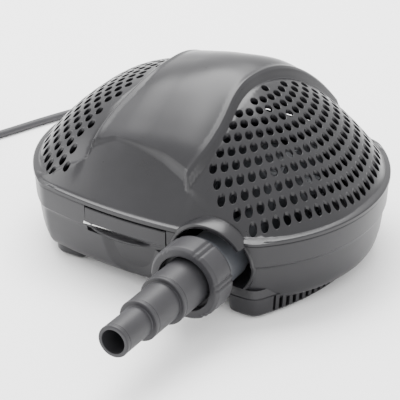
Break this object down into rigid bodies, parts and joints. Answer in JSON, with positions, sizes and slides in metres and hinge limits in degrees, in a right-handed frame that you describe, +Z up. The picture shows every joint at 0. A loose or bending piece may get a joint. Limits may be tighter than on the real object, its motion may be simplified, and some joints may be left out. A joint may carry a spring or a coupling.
{
  "type": "fountain submersible pump",
  "caption": "Submersible pond and fountain pump in a perforated two-part case, with a stepped hose tail, union nut, hinged cover, front latch and mains cable.",
  "frame": {"origin": "bottom centre of the pump's box with its hose tail, on the floor under the rubber feet; the cable is left out of it", "axes": "+Z up; -Y is the front, the way the hose tail points; +X is the outlet's side of the case"},
  "size_m": [0.5527, 0.4475, 0.1559],
  "materials": {
    "case_satin": "satin moulded plastic, charcoal",
    "case_gloss": "glossy moulded plastic, charcoal",
    "fitting": "satin moulded plastic, dark grey",
    "housing": "matt glass-filled plastic, black",
    "impeller": "natural moulded plastic",
    "seal": "matt",
    "rubber": "matt",
    "cable": "satin rubber sheath",
    "plug": "satin",
    "steel": "stainless",
    "shaft": "ground and polished",
    "bush": "fine ground ceramic",
    "magnet": "sealed ferrite, dark grey",
    "lamination": "stacked sheet steel",
    "copper": "enamelled copper wire"
  },
  "bodies": {
    "case": {"lower_shell": "case_satin", "latch_pin": "steel", "hinge_pins": "steel", "rubber_feet": "rubber", "volute_housing": "housing", "housing_seal": "seal", "suction_cover": "housing", "inlet_guard": "housing", "cover_screws": "steel", "front_bush": "bush", "rear_bush": "bush", "bush_seat": "seal", "rotor_can": "housing", "stator_core": "lamination", "windings": "copper", "motor_housing": "housing", "motor_flange": "housing", "motor_screws": "steel", "motor_buffers": "rubber", "lead_gland": "fitting", "inner_lead": "cable", "cable_gland": "fitting", "strain_relief": "cable", "power_cable": "cable", "cable_coil": "cable", "mains_plug": "plug"},
    "cover": {"upper_shell": "case_gloss"},
    "latch": {"latch": "case_satin"},
    "tail": {"hose_tail": "fitting", "tail_gasket": "seal"},
    "nut": {"union_nut": "fitting"},
    "rotor": {"rotor_magnet": "magnet", "shaft": "shaft", "impeller": "impeller", "thrust_washers": "bush"}
  },
  "joints": [
    {"name": "cover_hinge", "type": "hinge", "parent": "case", "child": "cover", "pos_m": [0, 0.1721, 0.064], "axis": [-1, 0, 0], "range_deg": [0, 75]},
    {"name": "latch_release", "type": "hinge", "parent": "case", "child": "latch", "pos_m": [-0.0115, -0.0457, 0.0482], "axis": [1, 0, 0], "range_deg": [0, 35]},
    {"name": "tail_slide", "type": "slide", "parent": "case", "child": "tail", "axis": [0, -1, 0], "range_m": [0, 0.01154]},
    {"name": "nut_turn", "type": "hinge", "parent": "tail", "child": "nut", "pos_m": [0.061, -0.0699, 0.044], "axis": [0, -1, 0], "range_deg": [0, 1800]},
    {"name": "rotor_spin", "type": "hinge", "parent": "case", "child": "rotor", "pos_m": [0, 0.0601, 0.057], "axis": [1, 0, 0], "continuous": true}
  ],
  "couplings": [
    {"joint": "nut_turn", "follows": "tail_slide", "rad_per_m": 2721.1}
  ]
}
